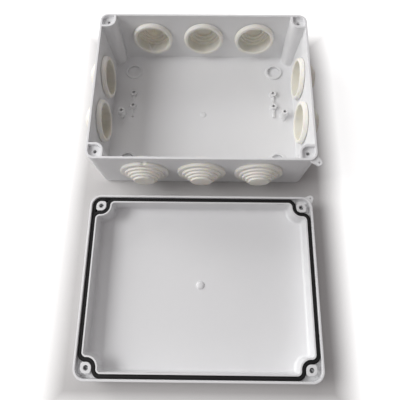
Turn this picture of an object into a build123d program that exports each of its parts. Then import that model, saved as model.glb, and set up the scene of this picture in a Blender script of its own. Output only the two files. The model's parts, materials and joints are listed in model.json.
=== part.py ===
"""Surface-mounted junction box with its lid taken off and laid upside down in front of it.

Millimetres. X runs along the length of the box, Y from the lid towards the back wall and
Z up. The origin is the middle of the underside of the base.
"""

from build123d import *
from math import atan2, cos, degrees, sin
import os

os.makedirs("parts", exist_ok=True)

# Base: outline at the rim, height and walls
box_length = 195.0
box_width = 150.0
box_height = 60.0
rim_radius = 7.5            # outer corner of the rim, centred on the lid screw
wall = 2.2
floor = 2.5
wall_draft = 2.5            # how far each outside wall leans in from rim to floor
foot_radius = 2.0
inside_radius = 1.2
rim_edge_radius = 0.4

# Base: pocket and pilot hole for a lid screw in the head of each corner post
pocket_depth = 3.5
pilot_radius = 1.55
pilot_depth = 12.5

# Base: raised rings round the thinned wall-fixing points
ring_x = 73.7
ring_y = 51.0
ring_radius = 8.75
ring_width = 2.1
ring_height = 1.2
ring_recess = 1.0

# Base: bosses for an inner mounting plate, in pairs on a low rib
plate_boss_x = 72.0
plate_boss_y = 16.5
plate_boss_spacing = 15.0
plate_boss_radius = 3.5
plate_boss_height = 3.5
plate_hole_radius = 1.5
plate_rib_width = 2.0
plate_rib_height = 1.8
plate_rib_front = -3.0
plate_rib_back = 24.0

# Base: one taller boss beside each side wall, with a foot towards the front
tall_boss_x = 82.0
tall_boss_y = -0.7
tall_boss_height = 9.5
tall_foot_reach = 6.0
tall_foot_height = 6.0
tall_foot_width = 1.8

# Base: moulding gate mark in the middle of the floor
gate_radius = 3.0
gate_height = 0.3

# Cable entries: round holes in the walls
entry_radius = 18.0
entry_height = 31.0
entry_spacing_long = 51.0
entry_spacing_short = 48.0
entries_long = 3
entries_short = 2

# Rubber grommet that fills each entry
grommet_fit = 0.1
flange_width = 3.5
flange_thickness = 1.0
cone_radii = [18.0, 15.0, 12.5, 10.0]
cone_step = 2.35
cone_wall = 1.2
tip_edge_radius = 1.0
lip_radius = 20.0
lip_end_radius = 19.0
lip_length = 4.5
mouth_radius = 16.0
lip_edge_radius = 1.1

# Lid, as it lies upside down with its outer face on the ground
lid_distance = 171.4        # from the middle of the base to the middle of the lid
lid_height = 21.5
lid_plate = 2.5
lid_draft = 2.0
lid_edge_radius = 3.0
skirt_wall = 2.0
skirt_edge_radius = 0.5
skirt_overlap = 1.5         # how far the closed lid reaches down past the rim
rim_gap = 0.5               # between rim and skirt
lip_gap = 0.9               # between rim and the bosses and inner lip
lip_drop = 1.1              # bosses and inner lip below the skirt edge
lip_wall = 1.3
lip_blend = 2.5
tray_fillet = 2.2
corner_pocket_floor = 15.0
corner_rib_width = 1.2
dimple_radius = 3.5
dimple_height = 0.8

# Lid screws
screw_hole_radius = 2.15
hole_step_radius = 3.25
hole_step_depth = 0.4
well_radius = 4.5
well_depth = 13.5
screw_head_radius = 3.9
screw_head_height = 2.6
screw_length = 16.0
screw_core_radius = 1.45
screw_point = 2.2
screw_rest = 0.3            # head above the ground while the lid lies on its face
recess_length = 4.4
recess_width = 1.0
recess_depth = 1.5

# Gasket cord in the lid
gasket_height = 3.5
gasket_gap = 0.25           # cord below the rim when the lid is closed and not yet tightened
gasket_fit = 0.1
gasket_edge_radius = 1.3
gasket_turn_radius = 6.0

# Worked out from the sizes above
screw_x = box_length / 2 - rim_radius
screw_y = box_width / 2 - rim_radius
draft_angle = atan2(wall_draft, box_height)
rim_inside = rim_radius - wall
lid_radius = rim_radius + rim_gap + skirt_wall
groove_outside = rim_radius + rim_gap
groove_inside = rim_inside - lip_gap
tray_side = groove_inside - lip_wall
tray_corner = groove_outside + lip_wall
lip_top = lid_height - lip_drop
gasket_top = lid_height - skirt_overlap - gasket_gap
groove_floor = gasket_top - gasket_height
lid_ground = Plane((0, -lid_distance, 0))


def export(part, name):
    """Label a finished piece and write it to its own file."""
    part.label = name
    export_step(part, f"parts/{name}.step")


def rim_outline(offset):
    """Rounded rectangle at one distance outside the lines through the screws."""
    with BuildSketch() as outline:
        RectangleRounded(2 * (screw_x + offset), 2 * (screw_y + offset), offset)
    return outline.sketch


def corner_blocks(inward, outward):
    """Squares over the screws, rounded on the screw axis towards the middle."""
    with BuildSketch() as blocks:
        with Locations((screw_x - inward, screw_y - inward)):
            Rectangle(inward + outward, inward + outward, align=Align.MIN)
        fillet(blocks.vertices().group_by(Axis.X)[0].sort_by(Axis.Y)[0], inward)
        mirror(about=Plane.YZ)
        mirror(about=Plane.XZ)
    return blocks.sketch


def notched_outline(side, corner, blend):
    """Rectangle outside the screw lines that steps in round each screw."""
    with BuildSketch() as outline:
        Rectangle(2 * (screw_x + side), 2 * (screw_y + side))
        add(corner_blocks(corner, side + corner), mode=Mode.SUBTRACT)
        ends = outline.vertices().filter_by(
            lambda v: abs(v.X) > screw_x + side / 2 or abs(v.Y) > screw_y + side / 2
        )
        fillet(ends, blend)
    return outline.sketch


def wall_seat(along, outward):
    """Plane on the leaning outside of a wall, at the height of the cable entries."""
    lean = wall_draft * (1 - entry_height / box_height)
    if outward.X == 0:
        middle = Vector(along, outward.Y * (box_width / 2 - lean), entry_height)
    else:
        middle = Vector(outward.X * (box_length / 2 - lean), along, entry_height)
    normal = outward * cos(draft_angle) - Vector(0, 0, sin(draft_angle))
    return Plane(middle, x_dir=Vector(0, 0, 1).cross(outward), z_dir=normal)


def spread(spacing, count):
    """Places of a centred row."""
    return [(number - (count - 1) / 2) * spacing for number in range(count)]


entry_seats = {}
for number, along in enumerate(spread(entry_spacing_long, entries_long), start=1):
    entry_seats[f"grommet_front_{number}"] = wall_seat(along, Vector(0, -1, 0))
    entry_seats[f"grommet_back_{number}"] = wall_seat(along, Vector(0, 1, 0))
for number, along in enumerate(spread(entry_spacing_short, entries_short), start=1):
    entry_seats[f"grommet_left_{number}"] = wall_seat(along, Vector(-1, 0, 0))
    entry_seats[f"grommet_right_{number}"] = wall_seat(along, Vector(1, 0, 0))


# Room inside the base, which leaves a solid post in each corner
with BuildPart() as cavity:
    with BuildSketch(Plane.XY.offset(box_height)):
        add(rim_outline(rim_inside))
    extrude(amount=floor - box_height, taper=degrees(draft_angle))
    with BuildSketch(Plane.XY.offset(box_height)):
        add(corner_blocks(rim_radius, rim_radius))
    extrude(amount=floor - box_height, mode=Mode.SUBTRACT)
    fillet(cavity.faces().sort_by(Axis.Z)[0].edges(), inside_radius)

# Base box
with BuildPart() as base_box:
    with BuildSketch(Plane.XY.offset(box_height)):
        add(rim_outline(rim_radius))
    extrude(amount=-box_height, taper=degrees(draft_angle))
    fillet(base_box.faces().sort_by(Axis.Z)[0].edges(), foot_radius)
    add(cavity.part, mode=Mode.SUBTRACT)

    with BuildSketch(*entry_seats.values()):
        Circle(entry_radius)
    extrude(amount=2 * wall, both=True, mode=Mode.SUBTRACT)

    # Pocket in the head of each post, open to the rim, and the pilot hole below it
    with BuildSketch(Plane.XY.offset(box_height)):
        add(rim_outline(rim_inside))
        add(corner_blocks(rim_inside, rim_inside), mode=Mode.INTERSECT)
    extrude(amount=-pocket_depth, mode=Mode.SUBTRACT)
    with BuildSketch(Plane.XY.offset(box_height - pocket_depth)):
        with GridLocations(2 * screw_x, 2 * screw_y, 2, 2):
            Circle(pilot_radius)
    extrude(amount=-pilot_depth, mode=Mode.SUBTRACT)
    fillet(base_box.faces().sort_by(Axis.Z)[-1].edges(), rim_edge_radius)

    # Wall-fixing points
    with BuildSketch(Plane.XY.offset(floor)):
        with GridLocations(2 * ring_x, 2 * ring_y, 2, 2):
            Circle(ring_radius)
            Circle(ring_radius - ring_width, mode=Mode.SUBTRACT)
    extrude(amount=ring_height)
    with BuildSketch(Plane.XY.offset(floor)):
        with GridLocations(2 * ring_x, 2 * ring_y, 2, 2):
            Circle(ring_radius - ring_width)
    extrude(amount=-ring_recess, mode=Mode.SUBTRACT)

    # Mounting-plate bosses on their ribs
    with BuildSketch(Plane.XY.offset(floor)):
        with Locations((-plate_boss_x, plate_rib_front), (plate_boss_x, plate_rib_front)):
            Rectangle(plate_rib_width, plate_rib_back - plate_rib_front, align=(Align.CENTER, Align.MIN))
    extrude(amount=plate_rib_height)
    with BuildSketch(Plane.XY.offset(floor)):
        with Locations((0, plate_boss_y)):
            with GridLocations(2 * plate_boss_x, plate_boss_spacing, 2, 2):
                Circle(plate_boss_radius)
    extrude(amount=plate_boss_height)
    with BuildSketch(Plane.XY.offset(floor + plate_boss_height)):
        with Locations((0, plate_boss_y)):
            with GridLocations(2 * plate_boss_x, plate_boss_spacing, 2, 2):
                Circle(plate_hole_radius)
    extrude(amount=-plate_boss_height, mode=Mode.SUBTRACT)

    # Taller bosses with their feet
    with BuildSketch(Plane.XY.offset(floor)):
        with Locations((0, tall_boss_y)):
            with GridLocations(2 * tall_boss_x, 0, 2, 1):
                Circle(plate_boss_radius)
    extrude(amount=tall_boss_height)
    for side in (-1, 1):
        with BuildSketch(Plane.YZ.offset(side * tall_boss_x)):
            with BuildLine():
                Polyline(
                    (tall_boss_y, floor),
                    (tall_boss_y - tall_foot_reach, floor),
                    (tall_boss_y - plate_boss_radius, floor + tall_foot_height),
                    (tall_boss_y, floor + tall_foot_height),
                    close=True,
                )
            make_face()
        extrude(amount=tall_foot_width / 2, both=True)
    with BuildSketch(Plane.XY.offset(floor + tall_boss_height)):
        with Locations((0, tall_boss_y)):
            with GridLocations(2 * tall_boss_x, 0, 2, 1):
                Circle(plate_hole_radius)
    extrude(amount=-tall_boss_height, mode=Mode.SUBTRACT)

    with BuildSketch(Plane.XY.offset(floor)):
        Circle(gate_radius)
    extrude(amount=gate_height)

export(base_box.part, "base_box")


def make_grommet(seat):
    """Stepped rubber cone that clips into its entry, thin enough to be cut to the cable."""
    inner_face = -wall * cos(draft_angle)
    with BuildPart() as grommet:
        with BuildSketch(Plane(seat.origin, x_dir=seat.x_dir, z_dir=-seat.y_dir)) as profile:
            with BuildLine():
                outside = [
                    (entry_radius - grommet_fit, inner_face),
                    (entry_radius - grommet_fit, 0),
                    (entry_radius + flange_width, 0),
                    (entry_radius + flange_width, flange_thickness),
                ]
                level = flange_thickness
                for radius in cone_radii:
                    outside.append((radius, level))
                    level += cone_step
                    outside.append((radius, level))
                outside.append((0, level))
                level -= cone_wall
                inside = [(0, level)]
                for radius in reversed(cone_radii[1:]):
                    inside.append((radius - cone_wall, level))
                    level -= cone_step
                    inside.append((radius - cone_wall, level))
                inside.append((mouth_radius, level))
                inside.append((mouth_radius, inner_face - lip_length))
                inside.append((lip_end_radius, inner_face - lip_length))
                inside.append((lip_radius, inner_face))
                Polyline(outside + inside, close=True)
            make_face()
            fillet(profile.vertices().group_by(Axis.Y)[-1].sort_by(Axis.X)[-1], tip_edge_radius)
            fillet(profile.vertices().group_by(Axis.Y)[0], lip_edge_radius)
        revolve(axis=Axis(seat.origin, seat.z_dir))
    return grommet.part


for name, seat in entry_seats.items():
    export(make_grommet(seat), name)

# Tray inside the lip of the lid
with BuildPart() as tray:
    with BuildSketch(lid_ground.offset(lip_top)):
        add(notched_outline(tray_side, tray_corner, lip_blend))
    extrude(amount=lid_plate - lip_top)
    fillet(tray.faces().sort_by(Axis.Z)[0].edges(), tray_fillet)

# Lid
with BuildPart() as lid:
    with BuildSketch(lid_ground.offset(lid_height)):
        add(rim_outline(lid_radius))
    with BuildSketch(lid_ground):
        RectangleRounded(
            2 * (screw_x + lid_radius - lid_draft),
            2 * (screw_y + lid_radius - lid_draft),
            lid_radius - lid_draft,
        )
    loft(ruled=True)
    fillet(lid.faces().sort_by(Axis.Z)[0].edges(), lid_edge_radius)

    # Room between the skirts, down to the lip and the bosses
    with BuildSketch(lid_ground.offset(lid_height)):
        add(rim_outline(groove_outside))
    extrude(amount=-lip_drop, mode=Mode.SUBTRACT)
    fillet(lid.faces().sort_by(Axis.Z)[-1].edges(), skirt_edge_radius)

    add(tray.part, mode=Mode.SUBTRACT)

    # Groove between skirt and lip, which passes inside each boss
    with BuildSketch(lid_ground.offset(lip_top)):
        add(rim_outline(groove_outside))
        add(notched_outline(groove_inside, groove_outside, lip_blend + lip_wall), mode=Mode.SUBTRACT)
        with GridLocations(2 * screw_x, 2 * screw_y, 2, 2):
            Circle(groove_inside, mode=Mode.SUBTRACT)
    extrude(amount=groove_floor - lip_top, mode=Mode.SUBTRACT)

    # Lower pocket outside each boss, crossed by a rib to the corner of the skirt
    with BuildSketch(lid_ground.offset(groove_floor)):
        add(rim_outline(groove_outside))
        add(corner_blocks(groove_inside, groove_outside), mode=Mode.INTERSECT)
        with GridLocations(2 * screw_x, 2 * screw_y, 2, 2):
            Circle(groove_inside, mode=Mode.SUBTRACT)
            for turn in (45, 135):
                Rectangle(4 * groove_outside, corner_rib_width, rotation=turn, mode=Mode.SUBTRACT)
    extrude(amount=corner_pocket_floor - groove_floor, mode=Mode.SUBTRACT)

    # Screw holes, from the boss faces to the wells in the outer face
    with BuildSketch(lid_ground.offset(lip_top)):
        with GridLocations(2 * screw_x, 2 * screw_y, 2, 2):
            Circle(hole_step_radius)
    extrude(amount=-hole_step_depth, mode=Mode.SUBTRACT)
    with BuildSketch(lid_ground):
        with GridLocations(2 * screw_x, 2 * screw_y, 2, 2):
            Circle(screw_hole_radius)
    extrude(amount=lip_top, mode=Mode.SUBTRACT)
    with BuildSketch(lid_ground):
        with GridLocations(2 * screw_x, 2 * screw_y, 2, 2):
            Circle(well_radius)
    extrude(amount=well_depth, mode=Mode.SUBTRACT)

    # Domed gate mark in the middle of the tray
    with BuildSketch(lid_ground.offset(lid_plate)):
        Circle(dimple_radius)
    extrude(amount=dimple_height, taper=45)

export(lid.part, "lid")

# Spare end of the gasket cord, wound round the outside of the far left boss
with BuildPart() as spare_end:
    with BuildSketch(lid_ground.offset(groove_floor)):
        with Locations((-screw_x, screw_y)):
            Circle(groove_outside - gasket_fit)
            Circle(groove_inside + gasket_fit, mode=Mode.SUBTRACT)
    extrude(amount=gasket_height)
    fillet(spare_end.faces().sort_by(Axis.Z)[-1].edges(), gasket_edge_radius)

# Gasket cord, laid round the groove
with BuildPart() as lid_gasket:
    with BuildSketch(lid_ground.offset(groove_floor)):
        add(notched_outline(groove_outside - gasket_fit, groove_inside + gasket_fit, gasket_turn_radius))
        add(
            notched_outline(groove_inside + gasket_fit, groove_outside - gasket_fit, lip_blend + lip_wall),
            mode=Mode.SUBTRACT,
        )
    extrude(amount=gasket_height)
    fillet(lid_gasket.faces().sort_by(Axis.Z)[-1].edges(), gasket_edge_radius)
    add(spare_end.part)

export(lid_gasket.part, "lid_gasket")

# Lid screws, standing loose in their wells
for number, place in enumerate(GridLocations(2 * screw_x, 2 * screw_y, 2, 2), start=1):
    axis_foot = place.position + Vector(0, -lid_distance, screw_rest)
    with BuildPart() as lid_screw:
        with BuildSketch(Plane(axis_foot, x_dir=(1, 0, 0), z_dir=(0, -1, 0))):
            with BuildLine():
                Polyline(
                    (0, 0),
                    (screw_head_radius, 0),
                    (screw_head_radius, screw_head_height),
                    (screw_core_radius, screw_head_height),
                    (screw_core_radius, screw_head_height + screw_length - screw_point),
                    (0, screw_head_height + screw_length),
                    close=True,
                )
            make_face()
        revolve(axis=Axis(axis_foot, (0, 0, 1)))
        with BuildSketch(Plane(axis_foot)):
            Rectangle(recess_length, recess_width)
            Rectangle(recess_width, recess_length)
        extrude(amount=recess_depth, mode=Mode.SUBTRACT)
    export(lid_screw.part, f"lid_screw_{number}")
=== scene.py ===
"""Looks of the junction box with its lid off: finishes, housing details, grommets, cord, screws and light."""

import bpy
import json
import math
from mathutils import Matrix, Vector, noise
from mathutils.geometry import convex_hull_2d, intersect_point_line


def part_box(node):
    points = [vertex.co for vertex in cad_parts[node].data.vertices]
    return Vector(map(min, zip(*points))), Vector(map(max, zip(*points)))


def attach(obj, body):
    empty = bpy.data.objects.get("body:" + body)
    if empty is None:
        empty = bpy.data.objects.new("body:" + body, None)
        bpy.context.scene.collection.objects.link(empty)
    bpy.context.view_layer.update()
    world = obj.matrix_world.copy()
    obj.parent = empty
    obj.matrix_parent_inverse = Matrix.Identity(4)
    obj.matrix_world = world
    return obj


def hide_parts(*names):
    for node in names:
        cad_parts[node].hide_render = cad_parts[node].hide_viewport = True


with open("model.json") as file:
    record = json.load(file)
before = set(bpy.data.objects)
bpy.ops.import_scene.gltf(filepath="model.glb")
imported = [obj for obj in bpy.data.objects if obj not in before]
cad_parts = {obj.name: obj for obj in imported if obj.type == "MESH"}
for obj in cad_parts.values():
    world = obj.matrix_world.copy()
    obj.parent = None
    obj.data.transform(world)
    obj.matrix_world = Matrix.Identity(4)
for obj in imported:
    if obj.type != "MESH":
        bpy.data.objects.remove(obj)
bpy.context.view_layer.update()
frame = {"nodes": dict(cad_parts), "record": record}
mounts = {mount["name"]: mount for mount in frame["record"]["mounts"]}
MM = 0.001

# Cable grommets: radii from the axis, levels from the outside of the wall outwards
WALL = 2.2 * MM
NECK_RADIUS = 17.9 * MM
FLANGE_RADIUS = 21.5 * MM
FLANGE_THICKNESS = 3.0 * MM
CONE_RADII = [17.3 * MM, 14.6 * MM, 12.1 * MM, 9.6 * MM]
CONE_STEP = 1.85 * MM
CONE_WALL = 1.2 * MM
LIP_RADIUS = 20.0 * MM
LIP_END_RADIUS = 19.0 * MM
LIP_LENGTH = 4.5 * MM
LIP_GAP = 0.45 * MM
MOUTH_RADIUS = 16.0 * MM
GROMMET_SIDES = 120
GROMMET_SPACING = 1.6 * MM

# Roundness of the grommets' edges
STEP_EDGE_ROUND = 0.9 * MM
STEP_FOOT_ROUND = 0.4 * MM
FLANGE_EDGE_ROUND = 1.4 * MM
FLANGE_BACK_ROUND = 0.3 * MM
LIP_EDGE_ROUND = 0.4 * MM
LIP_END_ROUND = 1.2 * MM
CUP_EDGE_ROUND = 0.8 * MM
CUP_FOOT_ROUND = 0.7 * MM
CUP_MOUTH_ROUND = 1.0 * MM

# Unevenness of the rubber, and the one cone that is dented and creased and the one that is nicked
SWAY_PER_METRE = 75
SWAY_ACROSS = 0.22 * MM
SWAY_ALONG = 0.12 * MM
SWAY_FADE = 4 * MM
SWAY_BETWEEN_GROMMETS = 7.1
CREASED_GROMMET = "grommet_back_1"
FOLDS = [
    (Vector((3.5, -5.0)) * MM, Vector((8.0, 4.5)) * MM),
    (Vector((3.0, -5.0)) * MM, Vector((-0.5, 3.5)) * MM),
]
FOLD_HEIGHT = 1.1 * MM
FOLD_WIDTH = 0.9 * MM
# Share of the cup's painted shade taken off along the creases, as painted light on their ridges
FOLD_PAINTED_LIGHT = 0.9
FOLD_ANGLE = 1.5 * math.pi
CRUMPLES_PER_METRE = 260
CRUMPLE_HEIGHT = 0.7 * MM
DENT_DEPTH = 2.2 * MM
DENT_AT_TIP = 1.3 * MM
DENT_RELIEF = 0.6
DENT_LOBES = 1.5
DENT_TURN = 0.6
NICKED_GROMMET = "grommet_front_1"
NICK_DEPTH = 1.6 * MM
NICK_ANGLE = 1.5
NICK_WIDTH = 0.05
NICK_START = 18.5 * MM

# Gasket cord and the corners that it goes round
SCREW_X = 90.0 * MM
SCREW_Y = 67.5 * MM
CORD_OFFSET = 6.2 * MM
CORD_WIDTH = 3.4 * MM
CORD_TURN = 4.8 * MM
CORD_SPACING = 2.5 * MM
CORD_WANDER = 0.12 * MM
CORD_WANDERS_PER_METRE = 60
CORD_SEED = 3.0
CORD_SIDE_HEIGHT = 0.55
CORD_BULGE = 0.62
CORD_DOME_STEPS = 14
SPARE_LENGTH = 14 * MM
SPARE_DROP = 0.05 * MM

# Housing details over the moulded shells
FLOOR = 2.5 * MM
RING_RADIUS = 8.85 * MM
RING_WIDTH = 2.5 * MM
RING_HEIGHT = 2.2 * MM
RING_BEVEL = 0.7 * MM
POST_RADIUS = 3.6 * MM
POST_HOLE = 1.45 * MM
POST_RISE = 0.1 * MM
POST_BEVEL = 0.6 * MM
FLOOR_GATE_RADIUS = 3.3 * MM
FLOOR_GATE_HEIGHT = 0.7 * MM
LID_GATE_RADIUS = 3.7 * MM
LID_GATE_HEIGHT = 1.4 * MM
DOME_SIDES = 40
DOME_LEVELS = 6
LID_PLATE = 2.5 * MM
BOSS_SIDE = 4.4 * MM
BOSS_ROUND_CORNER = 0.98 * BOSS_SIDE
BOSS_SQUARE_CORNER = 2.4 * MM
BOSS_HOLE = 2.05 * MM
BOSS_BEVEL = 0.3 * MM
GROOVE_FLOOR = 16.2 * MM
LIP_TOP = 20.42 * MM
EAR_REACH = 8.6 * MM
EAR_RADIUS = 2.9 * MM
EAR_HOLE = 0.9 * MM
EAR_THICKNESS = 1.8 * MM
EAR_BEVEL = 0.3 * MM
BASE_EAR_TOP = 58.2 * MM
LID_EAR_TOP = 21.0 * MM
BASE_EAR_ROOT = (7.3 * MM, 0.8 * MM)
LID_EAR_ROOT = (9.3 * MM, 3.2 * MM)
PLATE_SPACING = 0.35 * MM
PLATE_SHARP = math.radians(30)
DOME_SHARP = math.radians(60)

# Lid screws
SCREW_CORE = 1.45 * MM
SCREW_CREST = 1.95 * MM
SCREW_PITCH = 1.4 * MM
SCREW_LENGTH = 16.0 * MM
SCREW_POINT = 2.2 * MM
SCREW_SIDES = 32
SCREW_ROWS = 120
TOOTH_STEEPNESS = 1.9
CREST_AT_POINT = 0.15
CREST_FADE = 1.6
HEAD_RADIUS = 3.9 * MM
HEAD_HEIGHT = 2.6 * MM
HEAD_FLAT = 0.72
HEAD_SHOULDER = 0.55
HEAD_TOP_ROUND = 0.6 * MM
HEAD_SIDE_ROUND = 0.8 * MM
HEAD_BACK_ROUND = 0.15 * MM
RECESS_LENGTH = 4.4 * MM
RECESS_WIDTH = 1.0 * MM
RECESS_DEPTH = 1.5 * MM
RECESS_ENTRY = 1 * MM
RECESS_ENTRY_SHARE = 1.15
RECESS_END_SHARE = 0.6

# Camera, as it stood over the box
PHOTO_SIZE = 400
SENSOR = 36.0
FOCAL_PIXELS = 407.6
CENTRE_ACROSS = 206.9
CENTRE_DOWN = 195.7
CAMERA_PLACE = Vector((6.9, -212.2, 370.9)) * MM
CAMERA_TILT = 0.3267
CAMERA_SWING = 0.0018
CAMERA_ROLL = 0.0106

# Lamps by azimuth and elevation in degrees, and power in watts, all at one distance from one spot
LAMPS = {
    "window_high": (180, 45, 9.6),
    "window_low": (150, 20, 8.0),
    "window_near": (210, 35, 2.2),
    "window_far": (90, 35, 2.6),
    "sky": (180, 78, 1.6),
}
LAMP_SIZE = 0.6
LAMP_DISTANCE = 1.5
LAMP_TARGET = Vector((0, -80, 0)) * MM
WORLD_COLOUR = (0.235, 0.221, 0.224, 1)

# Ground, which glows outside the place where the box and its lid lie
GROUND_HALF = 6.0
GROUND_DROP = 0.1 * MM
GLOW_HALF_X = 112 * MM
GLOW_HALF_Y = 170 * MM
GLOW_MIDDLE_Y = -88 * MM
GLOW_FADE = 25 * MM
GLOW_STRENGTH = 0.75

BLACK = (0, 0, 0, 1)
WHITE = (1, 1, 1, 1)


class Value:
    """A shader socket that Python arithmetic turns into Math nodes."""

    def __init__(self, shading, socket):
        self.shading = shading
        self.socket = socket

    def math(self, operation, *others):
        sockets = dict(enumerate((self, *others)))
        return self.shading.node("ShaderNodeMath", {"operation": operation}, sockets)

    def __add__(self, other):
        return self.math("ADD", other)

    def __sub__(self, other):
        return self.math("SUBTRACT", other)

    def __rsub__(self, other):
        return self * -1 + other

    def __mul__(self, other):
        return self.math("MULTIPLY", other)

    def __abs__(self):
        return self.math("ABSOLUTE")

    def at_least(self, other):
        return self.math("MAXIMUM", other)

    def at_most(self, other):
        return self.math("MINIMUM", other)

    __radd__ = __add__
    __rmul__ = __mul__


class Shading:
    """The nodes of a material or the world, and the shader that they feed."""

    def __init__(self, owner, shader):
        owner.use_nodes = True
        self.tree = owner.node_tree
        self.shader = self.tree.nodes[shader]

    def node(self, kind, settings, sockets, output=0):
        """Any node: its settings first, then the values or links of its sockets."""
        node = self.tree.nodes.new(kind)
        for setting, value in settings.items():
            setattr(node, setting, value)
        for socket, value in sockets.items():
            if isinstance(value, Value):
                self.tree.links.new(value.socket, node.inputs[socket])
            else:
                node.inputs[socket].default_value = value
        return Value(self, node.outputs[output])

    def feed(self, socket, value):
        self.tree.links.new(value.socket, self.shader.inputs[socket])

    def place(self):
        return self.node("ShaderNodeTexCoord", {}, {}, output="Object")

    def ray(self, kind):
        """1 for rays of this kind, else 0."""
        return self.node("ShaderNodeLightPath", {}, {}, output=f"Is {kind} Ray")

    def grain(self, size, detail=3.0):
        """Noise whose features are about this size."""
        sockets = {"Vector": self.place(), "Scale": 1 / size, "Detail": detail, "Roughness": 0.55}
        return self.node("ShaderNodeTexNoise", {}, sockets)

    def blend(self, share, first, second):
        """Mix of two colours."""
        return self.node("ShaderNodeMix", {"data_type": "RGBA"}, {0: share, 6: first, 7: second}, output=2)

    def relief(self, *layers, edge=0.0):
        """Bump from (height, depth) layers, one on top of the other, over edges of this roundness."""
        normal = self.node("ShaderNodeBevel", {"samples": 4}, {"Radius": edge}) if edge else None
        for height, depth in layers:
            sockets = {"Strength": 1.0, "Distance": depth, "Height": height}
            if normal:
                sockets["Normal"] = normal
            normal = self.node("ShaderNodeBump", {}, sockets)
        self.feed("Normal", normal)


class Finish(Shading):
    """One material on a Principled shader, with the values that are the same all over it."""

    def __init__(self, name, **constants):
        self.material = bpy.data.materials.new(name)
        super().__init__(self.material, "Principled BSDF")
        for socket, value in constants.items():
            self.shader.inputs[socket.replace("_", " ")].default_value = value


def housing_plastic():
    """Light grey moulded ABS with a fine satin skin."""
    finish = Finish("housing_plastic", Specular_IOR_Level=0.4)
    cloud = finish.grain(40 * MM)
    mottle = finish.grain(6 * MM)
    skin = finish.grain(0.35 * MM, detail=2)
    grey = (0.785, 0.79, 0.80, 1)
    pale = (0.82, 0.82, 0.825, 1)
    finish.feed("Base Color", finish.blend(cloud * 0.6 + mottle * 0.4, grey, pale))
    finish.feed("Roughness", 0.36 + 0.14 * mottle + 0.06 * skin)
    finish.relief((skin, 0.02 * MM), (cloud, 0.25 * MM), edge=0.3 * MM)
    return finish.material


def grommet_rubber():
    """Soft off-white rubber, with painted shade inside the thin cup, darker and greener there."""
    finish = Finish(
        "grommet_rubber",
        Specular_IOR_Level=0.45,
        Subsurface_Weight=0.5,
        Subsurface_Scale=1.2 * MM,
        Subsurface_Radius=(1.0, 0.85, 0.55),
    )
    # The cup attribute weights painted shade: the inside of the cup is painted darker and greener than the
    # outside
    cup = finish.node("ShaderNodeAttribute", {"attribute_name": "cup"}, {}, output="Fac")
    cloud = finish.grain(9 * MM)
    skin = finish.grain(0.5 * MM, detail=2)
    outside = finish.blend(cloud, (0.88, 0.865, 0.82, 1), (0.84, 0.82, 0.77, 1))
    # Painted shade: the colour of the inside of the cup
    inside = finish.blend(cloud, (0.83, 0.815, 0.75, 1), (0.76, 0.74, 0.67, 1))
    finish.feed("Base Color", finish.blend(cup, outside, inside))
    finish.feed("Roughness", 0.42 + 0.16 * cloud + 0.05 * skin)
    finish.relief((skin, 0.03 * MM), (cloud, 0.2 * MM))
    return finish.material


def cord_rubber():
    """Matt black foam rubber."""
    finish = Finish("cord_rubber", Specular_IOR_Level=0.25)
    cells = finish.grain(0.4 * MM, detail=4)
    cloud = finish.grain(12 * MM)
    black = (0.006, 0.006, 0.006, 1)
    dusty = (0.017, 0.016, 0.017, 1)
    finish.feed("Base Color", finish.blend(cloud * 0.5 + cells * 0.5, black, dusty))
    finish.feed("Roughness", 0.5 + 0.25 * cells)
    finish.relief((cells, 0.05 * MM))
    return finish.material


def screw_zinc():
    """Bright zinc plating, a little clouded."""
    finish = Finish("screw_zinc", Metallic=1.0)
    cloud = finish.grain(1.2 * MM)
    finish.feed("Base Color", finish.blend(cloud, (0.38, 0.39, 0.41, 1), (0.52, 0.52, 0.51, 1)))
    finish.feed("Roughness", 0.24 + 0.2 * cloud)
    finish.relief((cloud, 0.02 * MM))
    return finish.material


def ground_paper():
    """Pale paper that takes the shadows, and brightens away from the box in the camera's view."""
    finish = Finish("floor_paper", Roughness=0.9, Specular_IOR_Level=0.1, Emission_Strength=1.0)
    fibre = finish.grain(0.8 * MM)
    finish.feed("Base Color", finish.blend(fibre, (0.54, 0.53, 0.525, 1), (0.63, 0.62, 0.615, 1)))
    x, y = (finish.node("ShaderNodeSeparateXYZ", {}, {0: finish.place()}, output=axis) for axis in (0, 1))
    outside = (abs(x) - GLOW_HALF_X).at_least(abs(y - GLOW_MIDDLE_Y) - GLOW_HALF_Y)
    seen = finish.ray("Camera") + finish.ray("Glossy") + finish.ray("Transmission")
    glow = GLOW_STRENGTH * (outside * (1 / GLOW_FADE)).at_least(0).at_most(1) * seen
    finish.feed("Emission Color", finish.blend(glow, BLACK, WHITE))
    return finish.material


def finished(name, points, faces, material, body, node=None):
    """Mesh object that rides on its body, and stands for its CAD node where it is given one."""
    mesh = bpy.data.meshes.new(name)
    mesh.from_pydata(points, [], faces)
    mesh.materials.append(material)
    mesh.validate()
    mesh.shade_smooth()
    piece = bpy.data.objects.new(name, mesh)
    bpy.context.scene.collection.objects.link(piece)
    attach(piece, body)
    if node:
        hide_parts(node)
    return piece


def dress(node, material):
    """Gives a CAD node its finish."""
    piece = frame["nodes"][node]
    piece.data.materials.clear()
    piece.data.materials.append(material)


def rounded(corners, steps=5):
    """Open outline from (across, along, radius) corners, with an arc in each corner that has a radius."""
    outline = []
    for number, (across, along, radius) in enumerate(corners):
        here = Vector((across, along))
        if not radius:
            outline.append(here)
            continue
        before = (Vector(corners[number - 1][:2]) - here).normalized()
        after = (Vector(corners[number + 1][:2]) - here).normalized()
        half = before.angle(after) / 2
        reach = radius / math.tan(half)
        middle = here + (before + after).normalized() * (radius / math.sin(half))
        start = here + before * reach - middle
        end = here + after * reach - middle
        turn = start.angle_signed(end)
        for step in range(steps + 1):
            outline.append(middle + Matrix.Rotation(-turn * step / steps, 2) @ start)
    return outline


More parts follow.
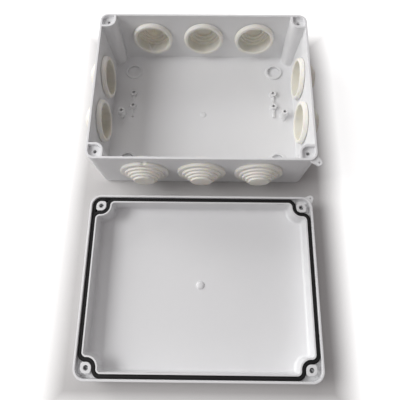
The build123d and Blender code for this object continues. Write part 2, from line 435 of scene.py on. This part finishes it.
def closed_route(corners):
    """Closed outline from (across, along, radius) corners."""
    closed = [(*corners[-1][:2], 0), *corners, (*corners[0][:2], 0)]
    return rounded(closed, steps=10)[1:-1]


def divided(outline, spacing):
    """The outline with more points on its long runs."""
    finer = [outline[0]]
    for here, ahead in zip(outline, outline[1:]):
        parts = max(1, math.ceil((ahead - here).length / spacing))
        finer += [here.lerp(ahead, (part + 1) / parts) for part in range(parts)]
    return finer


def circle(radius, sides=48):
    return [Matrix.Rotation(2 * math.pi * side / sides, 2) @ Vector((radius, 0)) for side in range(sides)]


def pierced(name, middle, outline, hole, low, high, bevel, material, body):
    """Plate with a round hole and a bevelled upper edge, from the points of its outline round the hole."""
    spots = divided(outline + outline[:1], PLATE_SPACING)[:-1]
    spots.sort(key=lambda spot: math.atan2(spot.y, spot.x))
    rims = ((0, low), (0, high - bevel), (bevel, high), (None, high), (None, low))
    points = []
    for inset, level in rims:
        for spot in spots:
            reach = hole if inset is None else spot.length - inset
            points.append(middle + Vector((*(spot.normalized() * reach), level)))
    count = len(spots)
    faces = []
    for rim in range(len(rims)):
        here = rim * count
        above = (rim + 1) % len(rims) * count
        for side in range(count):
            ahead = (side + 1) % count
            faces.append((here + side, here + ahead, above + ahead, above + side))
    piece = finished(name, points, faces, material, body)
    piece.data.set_sharp_from_angle(angle=PLATE_SHARP)


def make_rings(material):
    """Raised rings round the wall-fixing points, over the lower ones of the shell."""
    hole = RING_RADIUS - RING_WIDTH
    top = FLOOR + RING_HEIGHT
    for number in range(1, 5):
        name = f"fixing_ring_{number}"
        middle = Vector(mounts[f"wall_fixing_{number}"]["pos_m"])
        pierced(name, middle, circle(RING_RADIUS), hole, FLOOR, top, RING_BEVEL, material, "base")


def make_posts(material):
    """Bevelled sleeves round the bosses on the floor, a little higher than the bosses."""
    for mount in (mounts["plate_bosses"], mounts["tall_bosses"]):
        x, y, boss_top = mount["pos_m"]
        top = boss_top + POST_RISE
        half_x = mount["dims"]["spacing_x_mm"] / 2 * MM
        half_y = mount["dims"].get("spacing_y_mm", 0) / 2 * MM
        places = sorted({(x + side * half_x, y + row * half_y, 0) for side in (-1, 1) for row in (-1, 1)})
        for number, place in enumerate(places, start=1):
            name = f"{mount['name']}_{number}"
            middle = Vector(place)
            pierced(name, middle, circle(POST_RADIUS), POST_HOLE, FLOOR, top, POST_BEVEL, material, "base")


def make_dome(name, foot, radius, height, material, body):
    """Low dome that the moulding gate leaves in the middle of a plate."""
    points = []
    for level in range(DOME_LEVELS):
        angle = math.pi / 2 * level / DOME_LEVELS
        rise = height * math.sin(angle)
        points += [foot + Vector((*spot, rise)) for spot in circle(radius * math.cos(angle), DOME_SIDES)]
    points.append(foot + Vector((0, 0, height)))
    faces = [tuple(reversed(range(DOME_SIDES)))]
    last = (DOME_LEVELS - 1) * DOME_SIDES
    for side in range(DOME_SIDES):
        ahead = (side + 1) % DOME_SIDES
        for level in range(DOME_LEVELS - 1):
            here = level * DOME_SIDES
            above = here + DOME_SIDES
            faces.append((here + side, here + ahead, above + ahead, above + side))
        faces.append((last + side, last + ahead, len(points) - 1))
    piece = finished(name, points, faces, material, body)
    piece.data.set_sharp_from_angle(angle=DOME_SHARP)


def make_boss_faces(lid_middle, material):
    """Faces of the lid's screw bosses, square but for the corners towards the middle and the outside."""
    for number, (x, y) in enumerate(((-1, -1), (-1, 1), (1, -1), (1, 1)), start=1):
        outline = closed_route([
            (x * BOSS_SIDE, y * BOSS_SIDE, BOSS_ROUND_CORNER),
            (-x * BOSS_SIDE, y * BOSS_SIDE, BOSS_SQUARE_CORNER),
            (-x * BOSS_SIDE, -y * BOSS_SIDE, BOSS_ROUND_CORNER),
            (x * BOSS_SIDE, -y * BOSS_SIDE, BOSS_SQUARE_CORNER),
        ])
        name = f"boss_face_{number}"
        middle = lid_middle + Vector((x * SCREW_X, y * SCREW_Y, 0))
        pierced(name, middle, outline, BOSS_HOLE, GROOVE_FLOOR, LIP_TOP, BOSS_BEVEL, material, "lid")


def make_ear(name, screw, side, root, top, material, body):
    """Ear with a hole for a seal, in the corner outside a screw."""
    middle = screw + Vector((EAR_REACH, side * EAR_REACH, 0))
    spots = circle(EAR_RADIUS)
    for x, y in (root, root[::-1]):
        spots.append(Vector((x - EAR_REACH, side * (y - EAR_REACH))))
    outline = [spots[corner] for corner in convex_hull_2d(spots)]
    pierced(name, middle, outline, EAR_HOLE, top - EAR_THICKNESS, top, EAR_BEVEL, material, body)


def fold(spot):
    """Height of the creases at a spot of the cup's lower side: 1 on a crease."""
    height = 0.0
    for start, end in FOLDS:
        share = intersect_point_line(spot, start, end)[1]
        gap = (spot - start.lerp(end, min(1.0, max(0.0, share)))).length
        height = max(height, math.exp(-((gap / FOLD_WIDTH) ** 2)))
    return height


def grommet_outline():
    """Half section from the middle of the tip, down the outside and back up inside the cup."""
    steps = []
    level = FLANGE_THICKNESS
    for radius in CONE_RADII:
        steps.append((radius, level, STEP_FOOT_ROUND))
        level += CONE_STEP
        steps.append((radius, level, STEP_EDGE_ROUND))
    tip = level
    level -= CONE_WALL
    cup = []
    for radius in reversed(CONE_RADII[1:]):
        cup.append((radius - CONE_WALL, level, CUP_EDGE_ROUND))
        level -= CONE_STEP
        cup.append((radius - CONE_WALL, level, CUP_FOOT_ROUND))
    cup.append((MOUTH_RADIUS, level, CUP_MOUTH_ROUND))
    corners = [
        (0, tip, 0),
        *reversed(steps),
        (FLANGE_RADIUS, FLANGE_THICKNESS, FLANGE_EDGE_ROUND),
        (FLANGE_RADIUS, 0, FLANGE_BACK_ROUND),
        (NECK_RADIUS, 0, 0),
        (NECK_RADIUS, -WALL - LIP_GAP, 0),
        (LIP_RADIUS, -WALL - LIP_GAP, LIP_EDGE_ROUND),
        (LIP_END_RADIUS, -WALL - LIP_LENGTH, LIP_END_ROUND),
        (MOUTH_RADIUS, -WALL - LIP_LENGTH, LIP_END_ROUND),
        *reversed(cup),
        (0, level + CONE_STEP * (len(CONE_RADII) - 1), 0),
    ]
    return divided(rounded(corners), GROMMET_SPACING)


def make_grommet(name, entry, material, seed):
    """Stepped rubber cone with the small unevenness of soft moulding, one of them creased and one nicked."""
    creased = name == CREASED_GROMMET
    nicked = name == NICKED_GROMMET
    outward = Vector(entry["axis"]).normalized()
    across = Vector((0, 0, 1)).cross(outward).normalized()
    upward = outward.cross(across)
    middle = Vector(entry["pos_m"])
    outline = grommet_outline()
    tip = outline[0].y
    near_lip_end = -WALL - 0.9 * LIP_LENGTH
    last_outside = max(number for number, spot in enumerate(outline) if spot.y < near_lip_end)
    points = []
    cup = []
    for side in range(GROMMET_SIDES):
        angle = 2 * math.pi * side / GROMMET_SIDES
        place = across * math.cos(angle) + upward * math.sin(angle)
        for number, (radius, level) in enumerate(outline[1:-1], start=1):
            spot = place * radius + outward * level
            sway = noise.noise(spot * SWAY_PER_METRE + Vector((seed * SWAY_BETWEEN_GROMMETS, 0, 0)))
            sway *= min(1.0, abs(level) / SWAY_FADE)
            # Weight of the painted shade inside the cup, for the points past the lip's end
            inside = float(number > last_outside)
            if creased and inside:
                ridge = fold(Vector((MOUTH_RADIUS * (angle - FOLD_ANGLE), level)))
                radius -= FOLD_HEIGHT * ridge
                # Painted light along the crease ridges: less of the cup's painted shade there
                inside -= FOLD_PAINTED_LIGHT * ridge
                spot = place * radius + outward * level
                level += CRUMPLE_HEIGHT * noise.noise(spot * CRUMPLES_PER_METRE)
            cup.append(inside)
            if creased and level > 0:
                lobes = 1 - DENT_RELIEF * abs(math.cos(DENT_LOBES * angle + DENT_TURN))
                level -= DENT_DEPTH * (level / tip) ** 2 * lobes
            if nicked and radius > NICK_START and level >= 0:
                radius -= NICK_DEPTH * math.exp(-(((angle - NICK_ANGLE) / NICK_WIDTH) ** 2))
            radius += sway * SWAY_ACROSS
            level += sway * SWAY_ALONG
            points.append(middle + place * radius + outward * level)
    cup += [0.0, 1.0]
    count = len(outline) - 2
    tip_push = DENT_AT_TIP if creased else 0.0
    points.append(middle + outward * (tip - tip_push))
    points.append(middle + outward * (outline[-1].y - tip_push))
    faces = []
    for side in range(GROMMET_SIDES):
        here = side * count
        there = (side + 1) % GROMMET_SIDES * count
        for step in range(count - 1):
            faces.append((here + step, there + step, there + step + 1, here + step + 1))
        faces.append((len(points) - 2, there, here))
        faces.append((len(points) - 1, here + count - 1, there + count - 1))
    piece = finished(name + "_rubber", points, faces, material, "base", name)
    # Painted shade inside the cup, stored per point for the rubber's colour
    attribute = piece.data.attributes.new("cup", "FLOAT", "POINT")
    attribute.data.foreach_set("value", cup)


def cord_section(tall):
    """Domed section of the cord, flat where it lies on the groove."""
    half = CORD_WIDTH / 2
    section = [(-half, 0.0)]
    for step in range(CORD_DOME_STEPS + 1):
        angle = math.pi * (1 - step / CORD_DOME_STEPS)
        across = math.copysign(abs(math.cos(angle)) ** CORD_BULGE, math.cos(angle))
        rise = CORD_SIDE_HEIGHT + (1 - CORD_SIDE_HEIGHT) * math.sin(angle) ** CORD_BULGE
        section.append((half * across, tall * rise))
    section.append((half, 0.0))
    return section


def sweep(route, section, base, closed):
    """Points and faces of the section carried along a level route."""
    points = []
    faces = []
    count = len(section)
    last = len(route) - 1
    for number, here in enumerate(route):
        before = route[number - 1] if closed or number else route[0]
        after = route[(number + 1) % len(route)] if closed or number < last else route[last]
        along = (after - before).normalized()
        side = Vector((along.y, -along.x))
        for across, up in section:
            spot = here + side * across
            points.append(Vector((spot.x, spot.y, base + up)))
    rings = len(route) if closed else last
    for ring in range(rings):
        first = ring * count
        second = (ring + 1) % len(route) * count
        for step in range(count):
            following = (step + 1) % count
            faces.append((first + step, second + step, second + following, first + following))
    if not closed:
        faces.append(tuple(range(count)))
        faces.append(tuple(reversed(range(len(points) - count, len(points)))))
    return points, faces


def wandering(route):
    """The closed route with even points, and the small wander of a cord laid by hand."""
    even = divided(route + route[:1], CORD_SPACING)[:-1]
    moved = []
    for number, here in enumerate(even):
        ahead = even[(number + 1) % len(even)]
        along = (ahead - even[number - 1]).normalized()
        seeded = Vector((*(here * CORD_WANDERS_PER_METRE), CORD_SEED))
        shift = noise.noise(seeded) * CORD_WANDER
        moved.append(here + Vector((along.y, -along.x)) * shift)
    return moved


def make_cord(material):
    """Gasket cord, laid inside the bosses, with its spare end round the far left one."""
    low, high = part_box("lid_gasket")
    middle = ((low + high) / 2).xy
    section = cord_section(high.z - low.z)
    side_x = SCREW_X + CORD_OFFSET
    side_y = SCREW_Y + CORD_OFFSET
    step_x = SCREW_X - CORD_OFFSET
    step_y = SCREW_Y - CORD_OFFSET
    quarter = [(side_x, step_y, CORD_TURN), (step_x, step_y, CORD_OFFSET), (step_x, side_y, CORD_TURN)]
    corners = []
    for flip_x, flip_y in ((1, 1), (-1, 1), (-1, -1), (1, -1)):
        ordered = quarter if flip_x * flip_y > 0 else reversed(quarter)
        corners += [(flip_x * x, flip_y * y, radius) for x, y, radius in ordered]
    route = [middle + spot for spot in wandering(closed_route(corners))]
    points, faces = sweep(route, section, low.z, closed=True)
    spare = rounded([
        (-side_x, SCREW_Y - SPARE_LENGTH, 0),
        (-side_x, side_y, CORD_OFFSET),
        (-SCREW_X + SPARE_LENGTH, side_y, 0),
    ], steps=14)
    spare_points, spare_faces = sweep([middle + spot for spot in spare], section, low.z, closed=False)
    faces += [tuple(corner + len(points) for corner in face) for face in spare_faces]
    points += [spot - Vector((0, 0, SPARE_DROP)) for spot in spare_points]
    finished("gasket_cord", points, faces, material, "lid", "lid_gasket")


def thread_radius(level, turn):
    """Radius of the screw at a level above its head and a share of a turn, running out at the point."""
    to_point = min(1.0, (SCREW_LENGTH - level) / SCREW_POINT)
    core = SCREW_CORE * to_point
    crest = SCREW_CORE + (SCREW_CREST - SCREW_CORE) * min(1.0, CREST_AT_POINT + to_point)
    from_crest = abs((level / SCREW_PITCH - turn) % 1.0 - 0.5) * 2
    tooth = max(0.0, 1 - from_crest * TOOTH_STEEPNESS)
    return core + max(0.0, crest * min(1.0, to_point * CREST_FADE) - core) * tooth


def make_screw(name, body, material):
    """Pan-head tapping screw with a cross recess, standing on its head."""
    low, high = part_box(name)
    foot = Vector((*((low + high) / 2).xy, low.z))
    head = rounded([
        (0, 0, 0),
        (HEAD_RADIUS * HEAD_FLAT, 0, HEAD_TOP_ROUND),
        (HEAD_RADIUS, HEAD_HEIGHT * HEAD_SHOULDER, HEAD_SIDE_ROUND),
        (HEAD_RADIUS, HEAD_HEIGHT, HEAD_BACK_ROUND),
        (SCREW_CORE, HEAD_HEIGHT, 0),
    ])
    rows = [([radius] * SCREW_SIDES, level) for radius, level in head[1:]]
    for row in range(1, SCREW_ROWS + 1):
        level = SCREW_LENGTH * row / SCREW_ROWS
        radii = [thread_radius(level, side / SCREW_SIDES) for side in range(SCREW_SIDES)]
        rows.append((radii, HEAD_HEIGHT + level))
    points = []
    for radii, level in rows:
        for side, radius in enumerate(radii):
            angle = 2 * math.pi * side / SCREW_SIDES
            points.append(foot + Vector((radius * math.cos(angle), radius * math.sin(angle), level)))
    faces = []
    for row in range(len(rows) - 1):
        for side in range(SCREW_SIDES):
            first = row * SCREW_SIDES + side
            second = row * SCREW_SIDES + (side + 1) % SCREW_SIDES
            faces.append((first, second, second + SCREW_SIDES, first + SCREW_SIDES))
    faces.append(tuple(reversed(range(SCREW_SIDES))))
    faces.append(tuple(range(len(points) - SCREW_SIDES, len(points))))
    screw = finished(name + "_threaded", points, faces, material, body, name)
    for half_x, half_y in ((RECESS_LENGTH / 2, RECESS_WIDTH / 2), (RECESS_WIDTH / 2, RECESS_LENGTH / 2)):
        cut_recess(screw, foot, half_x, half_y)


def cut_recess(screw, foot, half_x, half_y):
    """One wedge of the cross recess, taken out of the head."""
    points = []
    for up, share in ((-RECESS_ENTRY, RECESS_ENTRY_SHARE), (RECESS_DEPTH, RECESS_END_SHARE)):
        for sign_x, sign_y in ((-1, -1), (1, -1), (1, 1), (-1, 1)):
            points.append(foot + Vector((sign_x * half_x * share, sign_y * half_y * share, up)))
    faces = [(3, 2, 1, 0), (4, 5, 6, 7), (0, 1, 5, 4), (1, 2, 6, 5), (2, 3, 7, 6), (3, 0, 4, 7)]
    mesh = bpy.data.meshes.new("recess")
    mesh.from_pydata(points, [], faces)
    cutter = bpy.data.objects.new("recess", mesh)
    bpy.context.scene.collection.objects.link(cutter)
    cut = screw.modifiers.new("recess", "BOOLEAN")
    cut.object = cutter
    cut.solver = "EXACT"
    bpy.context.view_layer.update()
    evaluated = screw.evaluated_get(bpy.context.evaluated_depsgraph_get())
    carved = bpy.data.meshes.new_from_object(evaluated)
    screw.modifiers.clear()
    screw.data = carved
    bpy.data.objects.remove(cutter)


def place_camera():
    data = bpy.data.cameras.new("camera")
    data.sensor_width = SENSOR
    data.lens = FOCAL_PIXELS / PHOTO_SIZE * SENSOR
    data.shift_x = (PHOTO_SIZE / 2 - CENTRE_ACROSS) / PHOTO_SIZE
    data.shift_y = (CENTRE_DOWN - PHOTO_SIZE / 2) / PHOTO_SIZE
    data.clip_start = 0.01
    camera = bpy.data.objects.new("camera", data)
    turn = Matrix.Rotation(CAMERA_ROLL, 4, "Z") @ Matrix.Rotation(CAMERA_TILT, 4, "X")
    camera.matrix_world = Matrix.Translation(CAMERA_PLACE) @ turn @ Matrix.Rotation(CAMERA_SWING, 4, "Y")
    bpy.context.scene.collection.objects.link(camera)
    bpy.context.scene.camera = camera


def softbox(name, azimuth, elevation, power):
    """Square lamp that looks at the object from this direction, in degrees from the right."""
    data = bpy.data.lights.new(name, "AREA")
    data.shape = "SQUARE"
    data.size = LAMP_SIZE
    data.energy = power
    lamp = bpy.data.objects.new(name, data)
    turn = Matrix.Rotation(math.radians(azimuth), 3, "Z") @ Matrix.Rotation(-math.radians(elevation), 3, "Y")
    away = turn @ Vector((1, 0, 0))
    lamp.location = LAMP_TARGET + away * LAMP_DISTANCE
    lamp.rotation_euler = (-away).to_track_quat("-Z", "Y").to_euler()
    bpy.context.scene.collection.objects.link(lamp)


def light_studio():
    """Wide window light from the left, even light from all round, and a white background."""
    for name, (azimuth, elevation, power) in LAMPS.items():
        softbox(name, azimuth, elevation, power)
    world = bpy.data.worlds.new("studio")
    bpy.context.scene.world = world
    surround = Shading(world, "Background")
    seen = surround.ray("Camera") + surround.ray("Transmission")
    surround.feed("Color", surround.blend(seen, WORLD_COLOUR, WHITE))


def lay_ground():
    corners = [(x * GROUND_HALF, y * GROUND_HALF, 0) for x, y in ((-1, -1), (1, -1), (1, 1), (-1, 1))]
    mesh = bpy.data.meshes.new("floor")
    mesh.from_pydata(corners, [], [(0, 1, 2, 3)])
    mesh.materials.append(ground_paper())
    ground = bpy.data.objects.new("floor", mesh)
    ground.location.z = -GROUND_DROP
    bpy.context.scene.collection.objects.link(ground)


def make_housing_details(material):
    """All that stands over the shells of the base and the lid, in their plastic."""
    low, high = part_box("lid")
    lid_middle = Vector((*((low + high) / 2).xy, 0))
    floor_middle = Vector((0, 0, FLOOR))
    tray_middle = lid_middle + Vector((0, 0, LID_PLATE))
    near_right = Vector((SCREW_X, -SCREW_Y, 0))
    far_right = lid_middle + Vector((SCREW_X, SCREW_Y, 0))
    make_rings(material)
    make_posts(material)
    make_dome("floor_gate", floor_middle, FLOOR_GATE_RADIUS, FLOOR_GATE_HEIGHT, material, "base")
    make_dome("lid_gate", tray_middle, LID_GATE_RADIUS, LID_GATE_HEIGHT, material, "lid")
    make_boss_faces(lid_middle, material)
    make_ear("base_ear", near_right, -1, BASE_EAR_ROOT, BASE_EAR_TOP, material, "base")
    make_ear("lid_ear", far_right, 1, LID_EAR_ROOT, LID_EAR_TOP, material, "lid")


def main():
    bpy.context.scene.view_settings.view_transform = "Standard"
    place_camera()
    light_studio()
    lay_ground()
    plastic = housing_plastic()
    dress("base_box", plastic)
    dress("lid", plastic)
    make_housing_details(plastic)
    rubber = grommet_rubber()
    entries = sorted(name for name in mounts if name.startswith("cable_entry_"))
    for seed, name in enumerate(entries):
        make_grommet(name.replace("cable_entry_", "grommet_"), mounts[name], rubber, seed)
    make_cord(cord_rubber())
    zinc = screw_zinc()
    for number in range(1, 5):
        make_screw(f"lid_screw_{number}", f"screw_{number}", zinc)


main()
